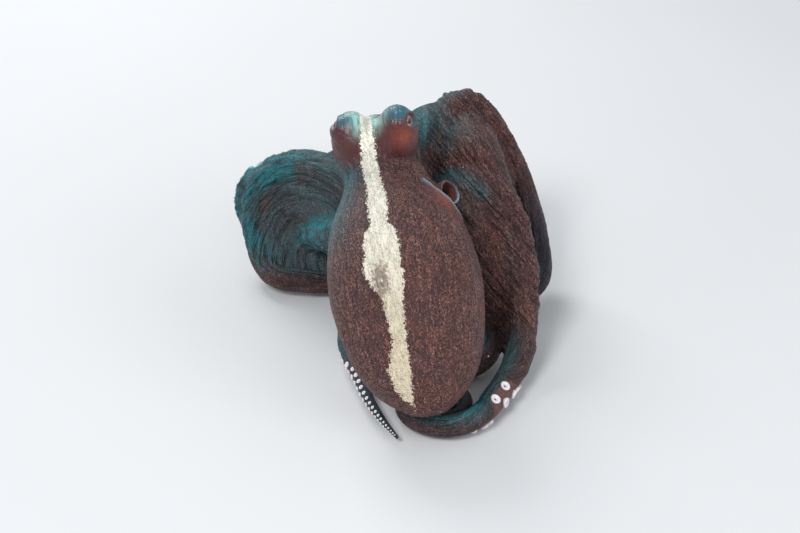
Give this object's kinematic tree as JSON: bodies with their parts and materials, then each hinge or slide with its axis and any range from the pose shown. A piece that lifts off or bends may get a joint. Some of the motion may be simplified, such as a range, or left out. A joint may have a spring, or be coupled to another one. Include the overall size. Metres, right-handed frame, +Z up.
{
  "type": "day octopus",
  "caption": "Life-size museum-like model of a sitting octopus: sac-shaped mantle with a pale back stripe, raised eyes, and webbed arms with suckers that arch over and roll up on the floor.",
  "frame": {"origin": "middle of the model's footprint, on the floor", "axes": "+Z up, -Y towards the tip of the mantle, where the picture is taken from, +X towards the animal's right"},
  "size_m": [0.1823, 0.3357, 0.1423],
  "materials": {
    "mantle_skin": "moist granular skin, dark reddish brown with a cream stripe down the back",
    "head_skin": "moist granular skin, reddish brown, blue-green on the eye turrets",
    "web_skin": "moist skin, dark brown and teal",
    "siphon_skin": "moist smooth skin, tan",
    "arm_skin": "moist grooved skin, dark reddish brown, pale suckers",
    "eye": "wet eyeball with a dark slit pupil"
  },
  "bodies": {
    "root": {"mantle": "mantle_skin", "head": "head_skin", "arm_crown": "web_skin", "siphon": "siphon_skin", "eye_left": "eye", "eye_right": "eye", "arm_r1_base": "arm_skin", "arm_r1_middle": "arm_skin", "arm_r1_far": "arm_skin", "arm_r1_tip": "arm_skin", "arm_l1_base": "arm_skin", "arm_l1_middle": "arm_skin", "arm_l1_far": "arm_skin", "arm_l1_tip": "arm_skin", "arm_r2_base": "arm_skin", "arm_r2_middle": "arm_skin", "arm_r2_far": "arm_skin", "arm_r2_tip": "arm_skin", "arm_l2_base": "arm_skin", "arm_l2_middle": "arm_skin", "arm_l2_far": "arm_skin", "arm_l2_tip": "arm_skin", "arm_r3_base": "arm_skin", "arm_r3_middle": "arm_skin", "arm_r3_far": "arm_skin", "arm_r3_tip": "arm_skin", "arm_l3_base": "arm_skin", "arm_l3_near": "arm_skin", "arm_l3_middle": "arm_skin", "arm_l3_far": "arm_skin", "arm_l3_tip": "arm_skin", "arm_r4_base": "arm_skin", "arm_r4_middle": "arm_skin", "arm_r4_tip": "arm_skin", "arm_l4_base": "arm_skin", "arm_l4_middle": "arm_skin", "arm_l4_far": "arm_skin", "arm_l4_tip": "arm_skin"}
  },
  "joints": []
}
